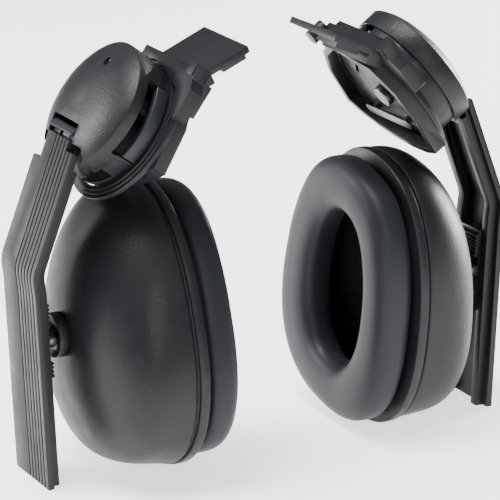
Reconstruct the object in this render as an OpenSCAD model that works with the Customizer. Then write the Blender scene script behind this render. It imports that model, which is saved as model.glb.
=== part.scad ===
// Pair of helmet-mounted ear defenders, stood on their lowest points.
// X is across the head (wearer's right is +X), +Y the way the wearer faces, Z up. Millimetres.

/* [Cup and cushion] */
// half the width of the cup rim
cup_half_width = 44; // [38:0.5:50]
// half the height of the cup rim
cup_half_height = 56.5; // [48:0.5:62]
// inner face of the rim plate, from the middle plane
rim_x = 47; // [40:0.5:60]
// thickness of the rim plate
rim_thick = 5; // [3:0.5:8]
// depth of the shell behind the rim plate
shell_depth = 35; // [28:0.5:42]
// wall of the shell
shell_wall = 2.4; // [1.6:0.1:4]
// how far the cushion stands off the rim plate
cushion_depth = 16; // [10:0.5:22]
// roll of the right cup about its pivot, degrees
right_roll = 13; // [-15:1:15]
// roll of the left cup about its pivot, degrees
left_roll = -14; // [-15:1:15]

/* [Arm] */
// edge of the strap on the -Y side
arm_front = -14.5; // [-16:0.5:-13]
// edge of the strap on the +Y side
arm_back = 16; // [14:0.5:18]
// thickness of the strap across its rails
arm_thick = 5.8; // [5:0.1:7]
// thickness of the strap's plate
plate_thick = 2.4; // [2.2:0.1:3.5]
// number of grooves down the -Y half of the strap
arm_grooves = 6; // [0:1:6]

/* [Hub] */
// lean of the hub away from upright, degrees
hub_lean = 36; // [20:1:50]
// radius of the cover's rim
cover_r = 27; // [22:0.5:32]
// radius of the drum wall
drum_r = 25.9; // [20:0.1:30]
// radius of the flange ring
flange_r = 31; // [26:0.5:36]

/* [Helmet blade] */
// length of the blade beyond the bracket
blade_length = 22; // [16:0.5:30]
// width of the blade
blade_width = 36; // [25:0.5:40]
// thickness of the blade
blade_thick = 2.6; // [2:0.1:4]
// rise of the blade towards the helmet, degrees
blade_rise = 24; // [0:1:40]

/* [Hidden] */
charcoal = [0.18, 0.19, 0.20];
slate = [0.24, 0.25, 0.27];
soft = [0.20, 0.21, 0.24];
steel = [0.62, 0.63, 0.65];
hub_at = [72, 1, 146];
rim_top = rim_x + rim_thick;
cup_at = [0, 0.5, 57];
EGG = 0.1;
STEPS = 48;
flip_at = [14.5, -0.5];
arm_lean = 2.7;
arm_x = 99.9;
cross_at = [arm_x - 8.7 * cos(arm_lean) + 57 * sin(arm_lean), 8.7 * sin(arm_lean) + 57 * cos(arm_lean)];
blade_y = -25;

// oval points in [y, z], a little narrower at the top
function pw(v, n) = sign(v) * pow(abs(v), 2 / n);
function oval(b, h, n = 2.3, k = STEPS) = [for (i = [0:k - 1])
    let (a = 360 * i / k, z = h * pw(sin(a), n))
    [b * pw(cos(a), n) * (1 - EGG * z / cup_half_height), z]];
function ring3(x, b, h, n = 2.3) = [for (p = oval(b, h, n)) [x, p[0], p[1]]];
// faces of a stack of rings of k points, closed by flat caps
function skin(m, k) = concat(
    [for (j = [0:m - 2], i = [0:k - 1]) [j * k + i, j * k + (i + 1) % k, (j + 1) * k + (i + 1) % k]],
    [for (j = [0:m - 2], i = [0:k - 1]) [j * k + i, (j + 1) * k + (i + 1) % k, (j + 1) * k + i]]);
// fans that close the two ends, each about a centre point listed after the rings
function caps(m, k) = concat([for (i = [0:k - 1]) [m * k, (i + 1) % k, i]],
    [for (i = [0:k - 1]) [m * k + 1, (m - 1) * k + i, (m - 1) * k + (i + 1) % k]]);
// faces of a closed loop of rings
function tube_faces(m, k) = concat(
    [for (j = [0:m - 1], i = [0:k - 1]) [j * k + i, j * k + (i + 1) % k, ((j + 1) % m) * k + (i + 1) % k]],
    [for (j = [0:m - 1], i = [0:k - 1]) [j * k + i, ((j + 1) % m) * k + (i + 1) % k, ((j + 1) % m) * k + i]]);
function flat(l) = [for (a = l) for (b = a) b];

// the strap's outer line in [x, z]: straight, a rounded bend, straight; with the outward normal
bend_r = 16;
bend_c = [104.3 - bend_r, 84.5];
top_dir = 20.7;
function strap() = concat(
    [for (z = [-3, 0, 30, 60, 78]) [arm_x + z * sin(arm_lean), z * cos(arm_lean), -arm_lean]],
    [for (i = [0:6]) let (a = -arm_lean + i * (top_dir + arm_lean) / 6)
        [bend_c[0] + bend_r * cos(a), bend_c[1] + bend_r * sin(a), a]],
    [for (s = [16, 35, 38, 45, 49, 53]) let (a = top_dir)
        [bend_c[0] + bend_r * cos(a) - s * sin(a), bend_c[1] + bend_r * sin(a) + s * cos(a), a]]);
function off(p, t) = [p[0] - t * cos(p[2]), p[1] - t * sin(p[2])];
// a band of the strap between two depths below its outer face
function band(t0, t1, i0 = 0, i1 = 15) = let (s = strap())
    concat([for (i = [i0:i1]) off(s[i], t0)], [for (i = [i1:-1:i0]) off(s[i], t1)]);

// the same band as a cutter: it starts below the strap's end and has no point level with it
function cutter(t0, t1, i1) = let (s = strap(), l = concat([0], [for (i = [2:i1]) i]))
    concat([for (i = l) off(s[i], t0)], [for (k = [len(l) - 1:-1:0]) off(s[l[k]], t1)]);

module side(s) { if (s > 0) children(); else mirror([1, 0, 0]) children(); }
module hub() { translate(hub_at) rotate([0, 90 - hub_lean, 0]) children(); }
module across(y0, y1) { translate([0, y1, 0]) rotate([90, 0, 0]) linear_extrude(y1 - y0) children(); }
module cup(s) { translate(cup_at) rotate([s > 0 ? right_roll : left_roll, 0, 0]) children(); }
module along_x(x0, x1) { translate([x0, 0, 0]) rotate([90, 0, 90]) linear_extrude(x1 - x0) children(); }
module in_arm() { translate([arm_x, 0, 0]) rotate([0, arm_lean, 0]) children(); }
module disc_x(x0, x1, r) { translate([x0, 0, 0]) rotate([0, 90, 0]) cylinder(h = x1 - x0, r = r, $fn = 48); }
module rod_y(y0, y1, r) { translate([0, y0, 0]) rotate([-90, 0, 0]) cylinder(h = y1 - y0, r = r, $fn = 32); }
// sector of a ring about the hub axis, b0 to b1 degrees up from the -Y side of a left hub or the +Y side
// of a right one
module sector(r0, r1, z0, z1, b0, b1, s) {
    translate([0, 0, z0]) linear_extrude(z1 - z0) polygon(concat(
        [for (i = [0:8]) let (b = b0 + (b1 - b0) * i / 8) [-r1 * sin(b), s * r1 * cos(b)]],
        [for (i = [8:-1:0]) let (b = b0 + (b1 - b0) * i / 8) [-r0 * sin(b), s * r0 * cos(b)]]));
}

// ---- fixed to the helmet ----
module adapter(s) color(charcoal) side(s) difference() {
    union() {
        hub() translate([0, 0, -19.6]) linear_extrude(5.9)
            polygon([[-31.4, -25.4], [-33, -25.4], [-33, -31], [-27, -31], [-23, -34], [-12, -34.6], [-10.6, -33],
                [-13, -30], [-21, -24], [-24, -14], [-25, 0], [-21, 22], [-14, 29], [-14, 31.4], [-19, 32], [-27, 25.5],
                [-27, 13], [-31.4, 13]]);
        translate([39.3, 0, 159.35]) rotate([0, blade_rise, 0]) {
            translate([-blade_length, blade_y, -blade_thick]) cube([blade_length + 4.5, blade_width, blade_thick]);
            translate([-blade_length + 2, blade_y + 1, -4.6]) cube([10.5, 15, 2.2]);
            translate([-4.5, blade_y + 0.8, -6.5]) cube([7, blade_width - 1.6, 5]);
        }
        hub() translate([-33, -29.5, -20.5]) cube([5, 5, 7.3]);
        if (s < 0) hub() translate([-28, -31.2, -23]) cube([13.5, 2.6, 6.5]);
        else hub() translate([-27.5, 25.5, -24]) cylinder(h = 7.5, r = 3.1, $fn = 48);
    }
    hub() translate([0, 0, -30]) cylinder(h = 40, r = drum_r + 0.4, $fn = 96);
    hub() translate([0, 0, -15.4]) cylinder(h = 8, r = drum_r + 1.6, $fn = 96);
    hub() translate([0, 0, -19.1]) cylinder(h = 2.9, r = flange_r + 0.05, $fn = 96);
    hub() translate([0, 0, -30]) cylinder(h = 11, r = 29.6, $fn = 96);
    hub() translate([-30.4, -20, -21]) cube([2.2, 27, 5]);
    translate([39.3, 0, 159.35]) rotate([0, blade_rise, 0])
        translate([-blade_length + 12.6, blade_y - 1, -10]) cube([3, 13, 6.2 + 1.2]);
}
module bowl_area(x) polygon([[-27 + x, -14 + x], [-18 + x, -24.5 + x], [-4, -30 + x], [14.5 - x, -30.2 + 1.4 * x],
    [18.5 - x, -22 + x], [21 - x, -11], [21.8 - x, 0], [21 - x, 11], [18.5 - x, 22 - x], [14.5 - x, 30.2 - 1.4 * x],
    [-4, 30 - x], [-18 + x, 24.5 - x], [-27 + x, 14 - x]]);
module base_bowl(s) color(charcoal) side(s) hub() difference() {
    union() {
        translate([0, 0, -19]) cylinder(h = 2, r = flange_r, $fn = 96);
        translate([0, 0, -17.01]) cylinder(h = 0.8, r = flange_r - 1.4, $fn = 96);
        translate([0, 0, -16.3]) cylinder(h = 0.8, r = flange_r - 2.8, $fn = 96);
        rotate([0, 0, s * 10.5]) translate([0, 0, -24.5]) linear_extrude(5.6) bowl_area(0);
    }
    translate([0, 0, -19.9]) cylinder(h = 10, r = drum_r + 0.4, $fn = 96);
    rotate([0, 0, s * 10.5]) translate([0, 0, -40]) linear_extrude(20.2) bowl_area(2);
}
module base_plate(s) color(slate) side(s) hub() difference() {
    union() {
        translate([0, 0, -19.3]) cylinder(h = 2.1, r = 25.4, $fn = 96);
        translate([10.5, -9, -22.1]) cylinder(h = 2.9, r = 1.6, $fn = 24);
        translate([10.5, 15, -22.1]) cylinder(h = 2.9, r = 1.6, $fn = 24);
    }
    translate([0, 0, -30]) cylinder(h = 20, r = 2.52, $fn = 48);
    for (a = [-50, -15, 20, 55]) rotate([0, 0, a]) translate([-17, -3.2, -30]) cube([1.7, 6.4, 20]);
    translate([13.5, -40, -30]) cube([30, 80, 20]);
}
module axle_pin(s) color(steel) side(s) hub() {
    translate([0, 0, -21.6]) cylinder(h = 2.2, r = 4.6, $fn = 48);
    translate([0, 0, -19.5]) cylinder(h = 7.1, r = 2.5, $fn = 48);
}
module axle_clip(s) color(steel) side(s) hub() difference() {
    translate([0, 0, -13.6]) cylinder(h = 0.9, r = 4.8, $fn = 48);
    translate([0, 0, -20]) cylinder(h = 20, r = 2.52, $fn = 48);
    translate([0.2, -1.6, -14]) cube([8, 3.2, 3]);
}
module detent_strip(s) color(steel) side(s) hub() translate([10.5, 3, -22.95]) linear_extrude(0.8) union() {
    translate([-2.2, -15]) square([4.4, 30]);
    translate([0, -15]) circle(r = 2.2, $fn = 32);
    translate([0, 15]) circle(r = 2.2, $fn = 32);
}

// ---- turning with the hub ----
module rotor_drum(s) color(charcoal) side(s) hub() difference() {
    union() {
        translate([0, 0, -16]) difference() {
            cylinder(h = 15.6, r = drum_r, $fn = 96);
            translate([0, 0, 2]) cylinder(h = 20, r = drum_r - 2.2, $fn = 96);
        }
        translate([10.9, -13.3, -14.2]) cube([6.1, 3.5, 14.9]);
        translate([10.9, 11.3, -14.2]) cube([6.1, 3.5, 14.9]);
        for (p = [[-17, -1.4], [-9, 17], [-9, -18]]) translate([p[0], p[1], -14.2]) cylinder(h = 14, r = 2.6, $fn = 32);
    }
    translate([0, 0, -30]) cylinder(h = 30, r = 2.56, $fn = 48);
    translate([17, -17.5, -13.9]) cube([20, 34, 20]);
    translate([flip_at[0], 0, flip_at[1]]) rod_y(-30, 30, 1.5);
    sector(drum_r - 4, drum_r + 3, -15.4, -4.5, -27, 45, s);
    sector(drum_r - 4, drum_r + 3, -12.5, -6.5, 74, 92, s);
}
module retaining_tab(s) color(slate) side(s) hub() difference() {
    union() {
        sector(drum_r - 2.4, drum_r + 1.1, -14.9, -9.2, -25, 43, s);
    }
    translate([0, 0, -30]) cylinder(h = 40, r = drum_r - 1.7, $fn = 96);
}
// flat-topped dome over a straight skirt, d inside its outer face
module cover_shape(d) {
    rotate_extrude($fn = 128) polygon([[0, -7.5], [cover_r - d, -7.5], [cover_r - d, 0.1 - d / 2], [cover_r - 0.7 - d, 0.7 - d / 2],
        [cover_r - 3 - d, 2.2 - d], [cover_r - 6 - d, 3.6 - d], [cover_r - 10 - d, 4.9 - d], [cover_r - 15 - d, 5.9 - d],
        [cover_r - 21 - d, 6.5 - d], [0, 6.7 - d]]);
}
module hub_cover(s) color(charcoal) side(s) hub() difference() {
    cover_shape(0);
    difference() {
        translate([0, 0, -0.05]) cover_shape(1.4);
        for (p = [[-17, -1.4], [-9, 17], [-9, -18]]) translate([p[0], p[1], 0]) cylinder(h = 14, r = 2.4, $fn = 32);
    }
    translate([0, 0, -9]) cylinder(h = 8.9, r = drum_r + 0.05, $fn = 96);
    translate([9.2, -9.6, -10]) cube([11, 21.6, 30]);
    translate([16.6, -16.2, -10]) cube([30, 34, 30]);
    sector(20, 35, -9, -4.4, -27, 45, s);
    translate([-17, -1.4, 2.2]) cylinder(h = 20, r = 1.9, $fn = 32);
    translate([-17, -1.4, -3]) cylinder(h = 20, r = 0.8, $fn = 32);
}
module cover_screw(s) color(steel) side(s) hub() translate([-17, -1.4, 0]) difference() {
    translate([0, 0, 2.2]) cylinder(h = 1.5, r = 1.8, $fn = 32);
    translate([-0.35, -2, 3.1]) cube([0.7, 4, 2]);
    translate([-2, -0.35, 3.1]) cube([4, 0.7, 2]);
}
module flip_pin(s) color(steel) side(s) hub() translate([flip_at[0], 0, flip_at[1]]) rod_y(-13.3, 14.8, 1.5);
module flip_spring(s) color(steel) side(s) hub() translate([flip_at[0], 0, flip_at[1]]) {
    for (i = [0:4]) translate([0, -1.9 + i * 1.15, 0]) rotate([90, 0, 0]) rotate_extrude($fn = 48) translate([2.6, 0]) circle(r = 0.6, $fn = 20);
    translate([-2.6, -1.9, -11]) cylinder(h = 11, r = 0.55, $fn = 20);
}

// ---- the arm ----
// a wide thin plate with two rails inside it, whose lips hold the slider
module arm(s) color(charcoal) side(s) difference() {
    union() {
        across(arm_front, arm_back) polygon(band(0, arm_thick, 1, 14));
        across(arm_front, -7) polygon(band(0, plate_thick + 1, 13, 15));
        across(-8, 10) polygon(band(0, arm_thick, 13, 16));
        hub() translate([flip_at[0], 0, flip_at[1]]) rod_y(-8, 10, 3.5);
    }
    across(arm_front - 2, -11.6) polygon(cutter(plate_thick, arm_thick + 3, 17));
    across(12.6, arm_back + 2) polygon(cutter(plate_thick, arm_thick + 3, 16));
    across(-7.5, 8.5) polygon(cutter(3, arm_thick + 3, 13));
    across(-9.6, 10.6) polygon(cutter(1.8, 4, 13));
    for (i = [0:arm_grooves - 1]) across(-12 + i * 2.8, -11.1 + i * 2.8) polygon(cutter(-1, 0.7, 17));
    hub() translate([flip_at[0], 0, flip_at[1]]) rod_y(-30, 30, 1.55);
    hub() translate([flip_at[0], 0, flip_at[1]]) rod_y(-3, 4.6, 3.9);
}
module arm_block(s) color(slate) side(s) hub() intersection() {
    translate([0, 0, -10]) difference() {
        translate([10.8, -9, 9]) cube([3.4, 19.5, 7]);
        translate([flip_at[0], 0, 9.5]) rod_y(-30, 30, 3.9);
    }
    translate([13.8, 0, 2.9]) rod_y(-9, 10.5, 3.1);
}

// ---- sliding on the arm ----
module slider(s) color(slate) side(s) in_arm() difference() {
    union() {
        translate([-3.7, -9.2, 40]) cube([1.6, 19.4, 34]);
        translate([-6.6, -7.2, 40]) cube([3, 15.4, 34]);
        translate([-8.4, -7.2, 63]) cube([2, 15.4, 9]);
        translate([-9.2, -6.2, 42]) cube([2.8, 13.4, 6]);
        for (y = [-7.2, 5.5]) translate([-8.7, y, 57]) {
            rod_y(0, 2.7, 2);
            translate([0, 0, -2]) cube([2.5, 2.7, 4]);
        }
    }
    translate([-8.7, 0, 57]) rod_y(-20, 20, 1.2);
    for (i = [0:4]) translate([-9, -12, 64 + i * 1.6]) cube([1.2, 30, 0.8]);
    for (i = [0:2]) translate([-10, -12, 43.2 + i * 1.6]) cube([1.4, 30, 0.8]);
    translate([-8.7, 0, 57]) rod_y(-4.4, 5.4, 2.6);
}
module slider_catch(s) color(steel) side(s) in_arm() difference() {
    translate([-7.3, -5, 48.6]) cube([0.65, 11, 5.4]);
    translate([-9, -1, 51.5]) cube([5, 3, 10]);
}
module pivot_pin(s) color(steel) side(s) in_arm() translate([-8.7, 0, 57]) rod_y(-7.2, 8.2, 1.2);

// ---- between slider and cup ----
module pivot_disc(s) color(slate) side(s) translate([0, 0.5, 57]) difference() {
    union() {
        disc_x(88.95, 90.15, 5.8);
        disc_x(90.1, 91.9, 4.1);
        translate([cross_at[0], 0, cross_at[1] - 57]) rod_y(-4, 4, 2);
        translate([91.2, -4, -1.5]) cube([2.4, 8, 3.8]);
    }
    translate([cross_at[0], 0, cross_at[1] - 57]) rod_y(-30, 30, 1.25);
}

// ---- the cup ----
module cup_boss(s) color(charcoal) side(s) translate([0, 0.5, 57]) difference() {
    disc_x(rim_top + shell_depth, 91.2, 8.8);
    disc_x(88.6, 90.45, 6.15);
    disc_x(80, 95, 4.45);
}
// how far a half size has shrunk at depth t and angle a: fuller below, falling away sooner above
function dome(t, a) = pow(max(0, 1 - pow(t, 3 - 1.2 * sin(a))), 1 / 1.6);
function level(i) = [0, 0.2, 0.38, 0.55, 0.68, 0.79, 0.87, 0.93, 0.965, 0.985, 1][i];
module dome_solid(x0, depth, b, h, tip) {
    pts = flat([for (i = [0:10]) let (t = level(i)) [for (j = [0:STEPS - 1])
        let (a = 360 * j / STEPS, k = tip + (1 - tip) * dome(t, a), n = 2 + 0.3 * k, z = h * k * pw(sin(a), n))
        [x0 + depth * t, b * k * pw(cos(a), n) * (1 - (EGG + 0.22 * t) * z / cup_half_height), z + 8 * t * (1 - t)]]]);
    polyhedron(concat(pts, [[x0, 0, 0], [x0 + depth, 0, 0]]),
        [for (f = concat(skin(11, STEPS), caps(11, STEPS))) [f[0], f[2], f[1]]], convexity = 4);
}
module cup_shell(s) color(charcoal) side(s) cup(s) difference() {
    dome_solid(rim_top, shell_depth, cup_half_width, cup_half_height, 0.19);
    dome_solid(rim_top - 0.5, shell_depth - shell_wall + 0.5, cup_half_width - shell_wall, cup_half_height - shell_wall, 0.15);
}
module rim_ring(s) color(slate) side(s) cup(s) difference() {
    union() {
        along_x(rim_x, rim_x + 3.9) polygon(oval(45, 57, 2.3, 96));
        along_x(rim_x + 3.8, rim_top) polygon(oval(43.6, 55.6, 2.3, 96));
    }
    along_x(rim_x - 1, rim_top + 1) polygon(oval(33, 45, 2.3, 96));
}
module cushion(s) color(soft) side(s) cup(s) {
    pts = flat([for (j = [0:15]) let (a = 22.5 * j + 8,
        x = rim_x - cushion_depth / 2 - 0.01 + cushion_depth / 2 * pw(cos(a), 3),
        w = 10.3 * pw(sin(a), 2.7)) ring3(x, 31.6 + w, 43.9 + w, 2.35 + 0.15 * sin(a))]);
    polyhedron(pts, tube_faces(16, STEPS), convexity = 6);
}
module foam_liner(s) color([0.1, 0.1, 0.11]) side(s) cup(s) along_x(56, 64) polygon(oval(36.5, 46.5, 2.3, 96));

adapter(-1);  // left_adapter
adapter(1);  // right_adapter
base_bowl(-1);  // left_base_bowl
base_bowl(1);  // right_base_bowl
base_plate(-1);  // left_base_plate
base_plate(1);  // right_base_plate
axle_pin(-1);  // left_axle_pin
axle_pin(1);  // right_axle_pin
axle_clip(-1);  // left_axle_clip
axle_clip(1);  // right_axle_clip
detent_strip(-1);  // left_detent_strip
detent_strip(1);  // right_detent_strip
rotor_drum(-1);  // left_rotor_drum
rotor_drum(1);  // right_rotor_drum
retaining_tab(-1);  // left_retaining_tab
retaining_tab(1);  // right_retaining_tab
hub_cover(-1);  // left_hub_cover
hub_cover(1);  // right_hub_cover
cover_screw(-1);  // left_cover_screw
cover_screw(1);  // right_cover_screw
flip_pin(-1);  // left_flip_pin
flip_pin(1);  // right_flip_pin
flip_spring(-1);  // left_flip_spring
flip_spring(1);  // right_flip_spring
arm(-1);  // left_arm
arm(1);  // right_arm
arm_block(-1);  // left_arm_block
arm_block(1);  // right_arm_block
slider(-1);  // left_slider
slider(1);  // right_slider
slider_catch(-1);  // left_slider_catch
slider_catch(1);  // right_slider_catch
pivot_pin(-1);  // left_pivot_pin
pivot_pin(1);  // right_pivot_pin
pivot_disc(-1);  // left_pivot_disc
pivot_disc(1);  // right_pivot_disc
cup_boss(-1);  // left_cup_boss
cup_boss(1);  // right_cup_boss
cup_shell(-1);  // left_cup_shell
cup_shell(1);  // right_cup_shell
rim_ring(-1);  // left_rim_ring
rim_ring(1);  // right_rim_ring
cushion(-1);  // left_cushion
cushion(1);  // right_cushion
foam_liner(-1);  // left_foam_liner
foam_liner(1);  // right_foam_liner
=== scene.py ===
"""A pair of ear defender cups that clip to a hard hat, made piece by piece in the order they go together.
Metres, X across the head, +Y the way the wearer faces, Z up. The two units mirror each other about X = 0, apart
from the ends of the bracket's bar, the turn of the bowl, the side of the drum's window and the roll of the
cup."""
import math

import bpy
import numpy as np
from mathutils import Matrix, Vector


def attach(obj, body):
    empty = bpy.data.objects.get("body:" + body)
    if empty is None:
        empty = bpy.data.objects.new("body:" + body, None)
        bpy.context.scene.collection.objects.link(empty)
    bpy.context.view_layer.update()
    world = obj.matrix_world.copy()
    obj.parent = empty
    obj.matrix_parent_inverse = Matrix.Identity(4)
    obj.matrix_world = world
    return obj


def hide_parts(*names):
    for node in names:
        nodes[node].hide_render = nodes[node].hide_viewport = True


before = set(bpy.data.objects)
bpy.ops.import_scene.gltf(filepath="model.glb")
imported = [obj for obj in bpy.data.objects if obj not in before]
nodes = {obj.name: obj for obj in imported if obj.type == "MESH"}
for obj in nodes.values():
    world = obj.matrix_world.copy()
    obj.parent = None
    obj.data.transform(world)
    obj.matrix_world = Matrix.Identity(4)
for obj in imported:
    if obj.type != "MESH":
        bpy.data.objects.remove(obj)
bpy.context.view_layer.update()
SIDES = (("left", -1.0), ("right", 1.0))

# ---------------------------------------------------------------------------------------------------------
# The bench: a pale seamless floor, a soft studio and a camera a little above and to the left of the pair.
scene = bpy.context.scene
REACH = 6
floor_mesh = bpy.data.meshes.new("floor")
corners = [(-REACH, -REACH, 0), (REACH, -REACH, 0), (REACH, REACH, 0), (-REACH, REACH, 0)]
floor_mesh.from_pydata(corners, [], [(0, 1, 2, 3)])
floor = bpy.data.objects.new("floor", floor_mesh)
scene.collection.objects.link(floor)
paper = bpy.data.materials.new("white paper")
paper.use_nodes = True
sheet = paper.node_tree.nodes["Principled BSDF"]
sheet.inputs["Base Color"].default_value = (0.93, 0.93, 0.93, 1)
sheet.inputs["Roughness"].default_value = 0.9
sheet.inputs["Emission Color"].default_value = (1, 1, 1, 1)
sheet.inputs["Emission Strength"].default_value = 1.5
floor_mesh.materials.append(paper)

studio = bpy.data.worlds.new("studio")
studio.use_nodes = True
n, link = studio.node_tree.nodes, studio.node_tree.links.new
way, parts = n.new("ShaderNodeTexCoord"), n.new("ShaderNodeSeparateXYZ")
sky = n.new("ShaderNodeMapRange")
sky.inputs["From Min"].default_value, sky.inputs["From Max"].default_value = 0.1, 0.95
sky.inputs["To Min"].default_value, sky.inputs["To Max"].default_value = 0.03, 0.7
link(way.outputs["Generated"], parts.inputs["Vector"])
link(parts.outputs["Z"], sky.inputs["Value"])
link(sky.outputs["Result"], n["Background"].inputs["Strength"])
n["Background"].inputs["Color"].default_value = (1, 1, 1, 1)
scene.world = studio


def softbox(name, at, to, size, watts):
    """A square area light of that size at one point, facing another."""
    lamp = bpy.data.lights.new(name, "AREA")
    lamp.shape, lamp.size, lamp.energy = "SQUARE", size, watts
    light = bpy.data.objects.new(name, lamp)
    light.location = at
    light.rotation_euler = (Vector(to) - Vector(at)).to_track_quat("-Z", "Y").to_euler()
    scene.collection.objects.link(light)


softbox("left strip", (-1.15, 0.75, 0.60), (-0.05, 0, 0.10), 0.7, 30)
softbox("right strip", (1.30, 0.45, 0.22), (0.08, 0, 0.07), 0.5, 42)
softbox("front fill", (-0.25, -1.3, 0.75), (0.05, 0, 0.10), 0.3, 5)
softbox("top light", (-0.35, 0.05, 1.5), (0, 0, 0.10), 0.6, 34)

lens = bpy.data.cameras.new("camera")
lens.lens, lens.sensor_width = 220, 36
camera = bpy.data.objects.new("camera", lens)
EYE, AIM = Vector((-0.540, -1.015, 0.440)), Vector((-0.0061, -0.0020, 0.0796))
camera.location = EYE
camera.rotation_euler = (AIM - EYE).to_track_quat("-Z", "Y").to_euler()
scene.collection.objects.link(camera)
scene.camera = camera


# ---------------------------------------------------------------------------------------------------------
# Blade and bracket: one injection moulding in charcoal nylon, satin, its edges barely broken. The blade plugs
# into the hat and the snap rib under it locks. The bar round the hub's flange ends in a square block, with a
# thin fin beside it on the left unit and a round lobe at its far end on the right.
def moulded_grain():
    """Node group of a textured mould: fine noise over a coarser flow pattern. Height feeds a Bump node, Gloss
    is a roughness offset around zero, Tint runs 0 to 1 and darkens or lightens the colour."""
    group = bpy.data.node_groups.new("moulded grain", "ShaderNodeTree")
    for name, low in (("Grain", 2600.0), ("Flow", 38.0)):
        socket = group.interface.new_socket(name, in_out="INPUT", socket_type="NodeSocketFloat")
        socket.default_value = low
    for name in ("Height", "Gloss", "Tint"):
        group.interface.new_socket(name, in_out="OUTPUT", socket_type="NodeSocketFloat")
    n, link = group.nodes, group.links.new
    given, out = n.new("NodeGroupInput"), n.new("NodeGroupOutput")
    place = n.new("ShaderNodeTexCoord")
    fine, flow, rub = (n.new("ShaderNodeTexNoise") for _ in range(3))
    for tex, detail in ((fine, 3.0), (flow, 4.0), (rub, 2.0)):
        tex.inputs["Detail"].default_value = detail
        link(place.outputs["Object"], tex.inputs["Vector"])
    rub.inputs["Scale"].default_value = 150.0
    link(given.outputs["Grain"], fine.inputs["Scale"])
    link(given.outputs["Flow"], flow.inputs["Scale"])
    link(fine.outputs["Fac"], out.inputs["Height"])
    mix = n.new("ShaderNodeMath")
    mix.operation = "ADD"
    link(flow.outputs["Fac"], mix.inputs[0])
    link(rub.outputs["Fac"], mix.inputs[1])
    gloss = n.new("ShaderNodeMapRange")
    gloss.inputs["From Min"].default_value, gloss.inputs["From Max"].default_value = 0.7, 1.3
    gloss.inputs["To Min"].default_value, gloss.inputs["To Max"].default_value = -0.05, 0.07
    link(mix.outputs[0], gloss.inputs["Value"])
    link(gloss.outputs["Result"], out.inputs["Gloss"])
    link(flow.outputs["Fac"], out.inputs["Tint"])
    return group


grain_group = moulded_grain()


def plastic(name, dark, light, rough, grain, depth):
    """Moulded plastic: its colour drifts between two near shades, roughness wanders round one value, and the
    mould's grain stands depth metres proud at grain cells per metre."""
    made = bpy.data.materials.new(name)
    made.use_nodes = True
    n, link = made.node_tree.nodes, made.node_tree.links.new
    skin = n["Principled BSDF"]
    texture = n.new("ShaderNodeGroup")
    texture.node_tree = grain_group
    texture.inputs["Grain"].default_value = grain
    shade = n.new("ShaderNodeMix")
    shade.data_type = "RGBA"
    shade.inputs["A"].default_value, shade.inputs["B"].default_value = (*dark, 1), (*light, 1)
    link(texture.outputs["Tint"], shade.inputs["Factor"])
    link(shade.outputs["Result"], skin.inputs["Base Color"])
    wander = n.new("ShaderNodeMath")
    wander.operation = "ADD"
    wander.inputs[1].default_value = rough
    link(texture.outputs["Gloss"], wander.inputs[0])
    link(wander.outputs[0], skin.inputs["Roughness"])
    bump = n.new("ShaderNodeBump")
    bump.inputs["Strength"].default_value = 1.0
    bump.inputs["Distance"].default_value = depth
    link(texture.outputs["Height"], bump.inputs["Height"])
    link(bump.outputs["Normal"], skin.inputs["Normal"])
    skin.inputs["Specular IOR Level"].default_value = 0.25
    return made


def dress(node, finish, radius=0.0003):
    """Gives a CAD node its material and breaks its edges: welded, flat areas merged, then every edge sharper
    than 30 degrees rounded to the radius with its normals kept flat beside it."""
    solid = nodes[node]
    solid.data.materials.clear()
    solid.data.materials.append(finish)
    weld = solid.modifiers.new("weld", "WELD")
    weld.merge_threshold = 2e-6
    flats = solid.modifiers.new("flats", "DECIMATE")
    flats.decimate_type = "DISSOLVE"
    flats.angle_limit = math.radians(0.4)
    edge = solid.modifiers.new("edge", "BEVEL")
    edge.width, edge.segments = radius, 2
    edge.limit_method, edge.angle_limit = "ANGLE", math.radians(30)
    edge.harden_normals = True
    for face in solid.data.polygons:
        face.use_smooth = True


nylon = plastic(
    "charcoal nylon", dark=(0.0062, 0.0071, 0.0086), light=(0.0115, 0.0130, 0.0155),
    rough=0.40, grain=2300.0, depth=0.000014,
)
for side, _ in SIDES:
    dress(f"{side}_adapter", nylon, 0.0004)

# ---------------------------------------------------------------------------------------------------------
# Base: the stepped flange ring with its open bowl is the same charcoal nylon. The slotted plate inside is a
# paler grey moulding held by the axle; a leaf strip of blackened steel crosses the bowl.
grey_nylon = plastic(
    "grey nylon", dark=(0.013, 0.0145, 0.0170), light=(0.021, 0.0232, 0.0270),
    rough=0.38, grain=1800.0, depth=0.000012,
)


def blackened(name, shade, rough):
    """Blackened steel: metal with a fine streak along X that moves its colour and its roughness together."""
    made = bpy.data.materials.new(name)
    made.use_nodes = True
    n, link = made.node_tree.nodes, made.node_tree.links.new
    skin = n["Principled BSDF"]
    skin.inputs["Metallic"].default_value = 1.0
    place, stretch = n.new("ShaderNodeTexCoord"), n.new("ShaderNodeMapping")
    streak = n.new("ShaderNodeTexNoise")
    stretch.inputs["Scale"].default_value = (1.0, 9.0, 9.0)
    streak.inputs["Scale"].default_value = 420.0
    streak.inputs["Detail"].default_value = 3.0
    link(place.outputs["Object"], stretch.inputs["Vector"])
    link(stretch.outputs["Vector"], streak.inputs["Vector"])
    tone = n.new("ShaderNodeMix")
    tone.data_type = "RGBA"
    tone.inputs["A"].default_value = (*[0.82 * c for c in shade], 1)
    tone.inputs["B"].default_value = (*shade, 1)
    link(streak.outputs["Fac"], tone.inputs["Factor"])
    link(tone.outputs["Result"], skin.inputs["Base Color"])
    span = n.new("ShaderNodeMapRange")
    span.inputs["To Min"].default_value = rough - 0.08
    span.inputs["To Max"].default_value = rough + 0.1
    link(streak.outputs["Fac"], span.inputs["Value"])
    link(span.outputs["Result"], skin.inputs["Roughness"])
    return made


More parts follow.
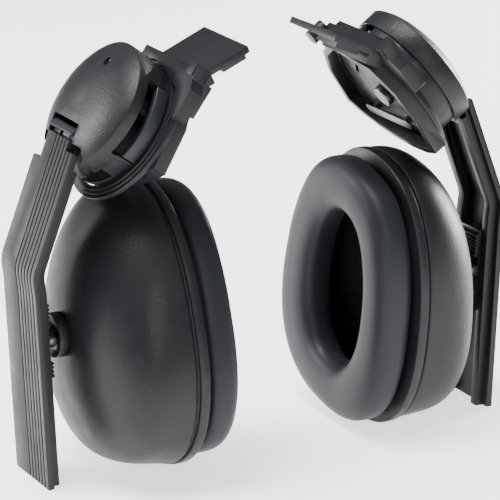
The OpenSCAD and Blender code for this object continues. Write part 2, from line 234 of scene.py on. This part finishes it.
dark_steel = blackened("blackened steel", (0.13, 0.135, 0.14), 0.38)
for side, _ in SIDES:
    dress(f"{side}_base_bowl", nylon, 0.0003)
    dress(f"{side}_base_plate", grey_nylon, 0.0002)
    dress(f"{side}_detent_strip", dark_steel, 0.0002)
    dress(f"{side}_axle_pin", dark_steel, 0.0003)
    dress(f"{side}_axle_clip", dark_steel, 0.0001)

# ---------------------------------------------------------------------------------------------------------
# Hub: a drum that turns in the base, a retaining tab in the window of its wall, which opens to -Y on the left
# unit and to +Y on the right, and a domed cover with a coarser, duller grain, screwed on from outside.
cover_grain = plastic(
    "grained cover", dark=(0.0062, 0.0071, 0.0085), light=(0.0115, 0.0130, 0.0150),
    rough=0.42, grain=1000.0, depth=0.000130,
)
for side, _ in SIDES:
    dress(f"{side}_rotor_drum", nylon, 0.0002)
    dress(f"{side}_retaining_tab", grey_nylon, 0.0005)
    dress(f"{side}_hub_cover", cover_grain, 0.0003)
    dress(f"{side}_cover_screw", dark_steel, 0.0001)

# ---------------------------------------------------------------------------------------------------------
# Fold pin and its spring. The spring is close turns of thin wire round the pin with a leg down to the drum's
# floor; it presses the arm inwards.
def tube(path, radius, sides=14):
    """A round tube along path, an n by 3 array: each ring is the path point plus radius times a circle in the
    plane square to the path, carried along with the least turning. Both ends are closed."""
    step = np.gradient(path, axis=0)
    step /= np.linalg.norm(step, axis=1)[:, None]
    aslant = [0.31, 0.52, 0.79]
    across = np.cross(step[0], aslant)
    frames = []
    for t in step:
        across = across - t * across.dot(t)
        across /= np.linalg.norm(across)
        frames.append(across)
    u = np.array(frames)
    v = np.cross(step, u)
    a = np.linspace(0, 2 * np.pi, sides, endpoint=False)
    c, d = np.cos(a)[None, :, None], np.sin(a)[None, :, None]
    rings = path[:, None] + radius * (c * u[:, None] + d * v[:, None])
    rows = len(path)
    i, j = np.meshgrid(np.arange(rows - 1), np.arange(sides), indexing="ij")
    k = (j + 1) % sides
    faces = np.stack([i * sides + j, i * sides + k, (i + 1) * sides + k, (i + 1) * sides + j], -1).reshape(-1, 4)
    caps = [list(range(sides - 1, -1, -1)), [(rows - 1) * sides + q for q in range(sides)]]
    return rings.reshape(-1, 3), faces.tolist() + caps


def piece(name, points, faces, finish, body):
    """A smooth-shaded object at the origin from points and faces, with its material and body."""
    mesh = bpy.data.meshes.new(name)
    mesh.from_pydata(points.tolist(), [], faces)
    mesh.materials.append(finish)
    for face in mesh.polygons:
        face.use_smooth = True
    made = bpy.data.objects.new(name, mesh)
    scene.collection.objects.link(made)
    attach(made, body)
    return made


LEAN = math.radians(36)
HUB = np.array([0.072, 0.001, 0.146])


def in_hub(points, s):
    """Points given as down the hub, forwards, and out along its axle, turned into the unit's place on side s."""
    down, ahead, out = points.T
    x = HUB[0] + down * math.sin(LEAN) + out * math.cos(LEAN)
    z = HUB[2] - down * math.cos(LEAN) + out * math.sin(LEAN)
    return np.stack([s * x, HUB[1] + ahead, z], -1)


PIN_DOWN, PIN_OUT = 0.0145, -0.0005
COIL_RADIUS, COIL_START, COIL_LONG, TURNS, WIRE_RADIUS = 0.0026, -0.0021, 0.0050, 4.6, 0.00058
LEG_FOOT, LEG_HEAD, LEG_POINTS = -0.0112, -0.0012, 12
for side, s in SIDES:
    dress(f"{side}_flip_pin", dark_steel, 0.0002)
    turn = np.linspace(0, 2 * np.pi * TURNS, 150)
    coil_down = PIN_DOWN - COIL_RADIUS * np.cos(turn)
    coil_ahead = COIL_START + COIL_LONG * turn / turn[-1]
    coil_out = PIN_OUT + COIL_RADIUS * np.sin(turn)
    leg_down = np.full(LEG_POINTS, PIN_DOWN - COIL_RADIUS)
    leg_ahead = np.full(LEG_POINTS, COIL_START)
    leg_out = np.linspace(LEG_FOOT, LEG_HEAD, LEG_POINTS)
    leg, coil = np.stack([leg_down, leg_ahead, leg_out], -1), np.stack([coil_down, coil_ahead, coil_out], -1)
    points, faces = tube(in_hub(np.concatenate([leg, coil]), s), WIRE_RADIUS)
    wire = piece(f"{side}_spring_wire", points, faces, dark_steel, f"{side}_hub")
    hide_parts(f"{side}_flip_spring")

# ---------------------------------------------------------------------------------------------------------
# Arm: a bent strap moulded in the same nylon, a wide thin plate with grooves down its -Y half and two rails
# inside it, whose lips hold the slider. The grey block at its top closes the hub's notch.
for side, _ in SIDES:
    dress(f"{side}_arm", nylon, 0.0004)
    dress(f"{side}_arm_block", grey_nylon, 0.0004)

# ---------------------------------------------------------------------------------------------------------
# Slider: a black acetal carriage that runs between the arm's rails, with serrated grips, a spring catch, and
# the swivel that carries the cup.
acetal = plastic(
    "black acetal", dark=(0.006, 0.0065, 0.0075), light=(0.010, 0.011, 0.012),
    rough=0.32, grain=3200.0, depth=0.000006,
)
for side, _ in SIDES:
    dress(f"{side}_slider", acetal, 0.00025)
    dress(f"{side}_slider_catch", dark_steel, 0.0001)
    dress(f"{side}_pivot_pin", dark_steel, 0.0001)
    dress(f"{side}_pivot_disc", acetal, 0.0003)
    dress(f"{side}_cup_boss", cover_grain, 0.0004)

# ---------------------------------------------------------------------------------------------------------
# Cup: a deep moulded shell, oval at the rim and narrower at the top, closing smoothly to the small flat where
# its swivel sits. It has the same coarse spark-eroded grain as the hub cover.
CUP = np.array([0.0, 0.0005, 0.057])
RIM_X, RIM_THICK, DEPTH = 0.047, 0.005, 0.035
HALF_WIDE, HALF_HIGH, NARROW = 0.044, 0.0565, 0.10
ROLL = {"left": math.radians(-14), "right": math.radians(13)}
AROUND = 192
ROUNDING, TOP_FULL, LOW_FULL, TAPER, LIFT, SQUARE = 1.6, 3, 1.2, 0.22, 0.008, 0.3
SHELL_WALL, TIP, INNER_TIP, POLE, CAP_RINGS, CROWDING = 0.0024, 0.19, 0.15, 0.004, 6, 1.9


def oval(x, b, h, power):
    """Rings of points: y = b cos^(2/power), z = h sin^(2/power) of the angle with the signs kept, y narrowed
    towards the top by NARROW of the height. x, b, h and power are arrays of one value a ring."""
    a = np.linspace(0, 2 * np.pi, AROUND, endpoint=False)[None]
    x, b, h, power = (np.atleast_1d(q)[:, None] for q in (x, b, h, power))
    y = b * np.sign(np.cos(a)) * np.abs(np.cos(a)) ** (2 / power)
    z = h * np.sign(np.sin(a)) * np.abs(np.sin(a)) ** (2 / power)
    return np.stack([x + 0 * y, y * (1 - NARROW * z / HALF_HIGH), z], -1)


def cup_place(points, side, s):
    """Rolls points about X by the side's roll, sets them on the cup's centre and mirrors them to side s."""
    c, d = math.cos(ROLL[side]), math.sin(ROLL[side])
    x, y, z = points.reshape(-1, 3).T
    return np.stack([s * (CUP[0] + x), CUP[1] + c * y - d * z, CUP[2] + d * y + c * z], -1)


def loft(rings, s):
    """Quads between successive rings of AROUND points, the last joined to the first, facing out on side s."""
    rows = len(rings)
    i, j = np.meshgrid(np.arange(rows), np.arange(AROUND), indexing="ij")
    m, k = (i + 1) % rows, (j + 1) % AROUND
    quads = np.stack([i * AROUND + j, i * AROUND + k, m * AROUND + k, m * AROUND + j], -1).reshape(-1, 4)
    return (quads if s > 0 else quads[:, ::-1]).tolist()


def dome(t, x0, depth, b, h, tip):
    """The shell's rings at depths t from 0 to 1. Both half sizes shrink to tip as (1 - t^p)^(1/ROUNDING), with
    p TOP_FULL less LOW_FULL times the sine of the angle, so the lower half stays full. The outline's power
    falls from 2 + SQUARE to 2, the narrowing grows by TAPER and the middle rings ride up by LIFT / 4."""
    a = np.linspace(0, 2 * np.pi, AROUND, endpoint=False)[None]
    t, tip = t[:, None], np.reshape(tip, (-1, 1))
    k = tip + (1 - tip) * np.maximum(0, 1 - t ** (TOP_FULL - LOW_FULL * np.sin(a))) ** (1 / ROUNDING)
    power = 2 / (2 + SQUARE * k)
    y = b * k * np.sign(np.cos(a)) * np.abs(np.cos(a)) ** power
    z = h * k * np.sign(np.sin(a)) * np.abs(np.sin(a)) ** power
    narrowed = y * (1 - (NARROW + TAPER * t) * z / HALF_HIGH)
    return np.stack([x0 + depth * t + 0 * y, narrowed, z + LIFT * t * (1 - t)], -1)


for side, s in SIDES:
    t = 1 - (1 - np.linspace(0, 1, 64)) ** CROWDING
    flat, start, within = np.ones(CAP_RINGS), RIM_X + RIM_THICK, DEPTH - SHELL_WALL
    shrink, grow = np.linspace(TIP, POLE, CAP_RINGS + 1)[1:], np.linspace(POLE, INNER_TIP, CAP_RINGS + 1)[:-1]
    outer = dome(t, start, DEPTH, HALF_WIDE, HALF_HIGH, TIP)
    cap = dome(flat, start, DEPTH, HALF_WIDE, HALF_HIGH, shrink)
    inner_cap = dome(flat, start, within, HALF_WIDE, HALF_HIGH, grow)
    inner = dome(t[::-1], start, within, HALF_WIDE - SHELL_WALL, HALF_HIGH - SHELL_WALL, INNER_TIP)
    rings = np.concatenate([outer, cap, inner_cap, inner])
    placed, quads = cup_place(rings, side, s), loft(rings, s)
    shell = piece(f"{side}_shell", placed, quads, cover_grain, f"{side}_cup")
    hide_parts(f"{side}_cup_shell")
    dress(f"{side}_rim_ring", nylon, 0.0005)

# ---------------------------------------------------------------------------------------------------------
# Foam pad: open-cell polyurethane cut from sheet, pressed into the cup. Its face is soft and slightly domed.
foam = bpy.data.materials.new("open-cell foam")
foam.use_nodes = True
n, link = foam.node_tree.nodes, foam.node_tree.links.new
skin = n["Principled BSDF"]
skin.inputs["Roughness"].default_value = 0.95
skin.inputs["Specular IOR Level"].default_value = 0.15
place, cells = n.new("ShaderNodeTexCoord"), n.new("ShaderNodeTexVoronoi")
cells.inputs["Scale"].default_value = 900.0
link(place.outputs["Object"], cells.inputs["Vector"])
# Painted shade: each cell's centre is painted nearly black and its edge lighter, so the pits the bump below cuts
# look shaded.
pore_shade = n.new("ShaderNodeMix")
pore_shade.data_type = "RGBA"
pore_shade.inputs["A"].default_value = (0.004, 0.004, 0.005, 1)
pore_shade.inputs["B"].default_value = (0.030, 0.030, 0.033, 1)
link(cells.outputs["Distance"], pore_shade.inputs["Factor"])
link(pore_shade.outputs["Result"], skin.inputs["Base Color"])
dent = n.new("ShaderNodeBump")
dent.inputs["Distance"].default_value = 0.0004
link(cells.outputs["Distance"], dent.inputs["Height"])
link(dent.outputs["Normal"], skin.inputs["Normal"])
PAD_FACE, PAD_BACK, PAD_CROWN = 0.056, 0.064, 0.0012
PAD_WIDE, PAD_HIGH, PAD_POWER = 0.0363, 0.0463, 2.3
for side, s in SIDES:
    r, q = np.linspace(0.02, 1, 40), np.linspace(1, 0.02, 10)
    front = oval(PAD_FACE + PAD_CROWN * r**6, PAD_WIDE * r, PAD_HIGH * r, np.full(len(r), PAD_POWER))
    back = oval(np.full(len(q), PAD_BACK), PAD_WIDE * q, PAD_HIGH * q, np.full(len(q), PAD_POWER))
    rings = np.concatenate([front, back])
    placed, quads = cup_place(rings, side, s), loft(rings, s)
    pad = piece(f"{side}_foam_pad", placed, quads, foam, f"{side}_cup")
    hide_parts(f"{side}_foam_liner")

# ---------------------------------------------------------------------------------------------------------
# Cushion: a foam ring in a welded polyurethane skin, full and smooth, with the weld line close to the rim.
hide = bpy.data.materials.new("cushion skin")
hide.use_nodes = True
n, link = hide.node_tree.nodes, hide.node_tree.links.new
skin = n["Principled BSDF"]
skin.inputs["Specular IOR Level"].default_value = 0.24
skin.inputs["Sheen Weight"].default_value = 0.03
skin.inputs["Sheen Roughness"].default_value = 0.5
place, leather = n.new("ShaderNodeTexCoord"), n.new("ShaderNodeTexVoronoi")
soft = n.new("ShaderNodeTexNoise")
leather.inputs["Scale"].default_value = 1500.0
soft.inputs["Scale"].default_value = 60.0
for tex in (leather, soft):
    link(place.outputs["Object"], tex.inputs["Vector"])
tint = n.new("ShaderNodeMix")
tint.data_type = "RGBA"
tint.inputs["A"].default_value = (0.0075, 0.0086, 0.0115, 1)
tint.inputs["B"].default_value = (0.0125, 0.0142, 0.0190, 1)
link(soft.outputs["Fac"], tint.inputs["Factor"])
link(tint.outputs["Result"], skin.inputs["Base Color"])
span = n.new("ShaderNodeMapRange")
span.inputs["To Min"].default_value, span.inputs["To Max"].default_value = 0.42, 0.56
link(soft.outputs["Fac"], span.inputs["Value"])
link(span.outputs["Result"], skin.inputs["Roughness"])
crease = n.new("ShaderNodeBump")
crease.inputs["Distance"].default_value = 0.00002
link(leather.outputs["Distance"], crease.inputs["Height"])
link(crease.outputs["Normal"], skin.inputs["Normal"])
SWELL, MID_WIDE, MID_HIGH, HALF_WALL = 0.008, 0.0316, 0.0439, 0.0103
MID_POWER, POWER_SWING, SWELL_POWER, WALL_POWER, SEAM_TURN = 2.35, 0.15, 2.9, 2.6, 0.14
WELD_DEEP, WELD_OFF, WELD_WIDE = 0.0006, 0.0022, 0.0007
FOLD_DEEP, FOLD_OFF, FOLD_WIDE = 0.00025, 0.004, 0.003
WAVE_DEEP = 0.0002


def relax_skin(rings, x, face, s):
    """Draws the skin in by WELD_DEEP along a line WELD_OFF from the rim on the outer wall, folds it by up to
    FOLD_DEEP in the opening, where it bunches at the tight ends, and lets the ring dip by about WAVE_DEEP in
    slow waves. Each is a bell curve or a sum of sines round the ring. face is 1 on the outer wall and -1 in
    the opening; every move is towards or away from the ring's middle line. Side s shifts the waves."""
    around = np.linspace(0, 2 * np.pi, AROUND, endpoint=False)[None]
    across, face = (x[:, None] - RIM_X), face[:, None]
    weld = WELD_DEEP * np.exp(-(((across + WELD_OFF) / WELD_WIDE) ** 2)) * np.clip(face, 0, 1)
    ends = 0.35 + 0.65 * np.abs(np.sin(around)) ** 3
    bunch = np.sin(41 * around + 2.0 * s) * np.sin(17 * around + 0.7) * ends
    fold = FOLD_DEEP * bunch * np.exp(-(((across + FOLD_OFF) / FOLD_WIDE) ** 2)) * np.clip(-face, 0, 1)
    slow = WAVE_DEEP * (np.sin(3 * around + s) + 0.6 * np.sin(5 * around + 1.9 * s + 250 * across))
    slow = slow * np.clip(-across / FOLD_OFF, 0, 1)
    middle = oval(*(np.full(len(x), q) for q in (RIM_X - SWELL, MID_WIDE, MID_HIGH, MID_POWER)))
    inward = middle - rings
    inward /= np.linalg.norm(inward, axis=-1, keepdims=True)
    return rings + inward * (weld + fold + np.maximum(slow, 0))[..., None]


for side, s in SIDES:
    a = np.linspace(0, 2 * np.pi, 72, endpoint=False)[::-1] + SEAM_TURN
    cx, sx = np.cos(a), np.sin(a)
    x = RIM_X - SWELL + SWELL * np.sign(cx) * np.abs(cx) ** (2 / SWELL_POWER)
    w = HALF_WALL * np.sign(sx) * np.abs(sx) ** (2 / WALL_POWER)
    rings = oval(x, MID_WIDE + w, MID_HIGH + w, MID_POWER + POWER_SWING * sx)
    rings = relax_skin(rings, x, sx, s)
    placed, quads = cup_place(rings, side, s), loft(rings, s)
    pad = piece(f"{side}_ear_cushion", placed, quads, hide, f"{side}_cup")
    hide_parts(f"{side}_cushion")
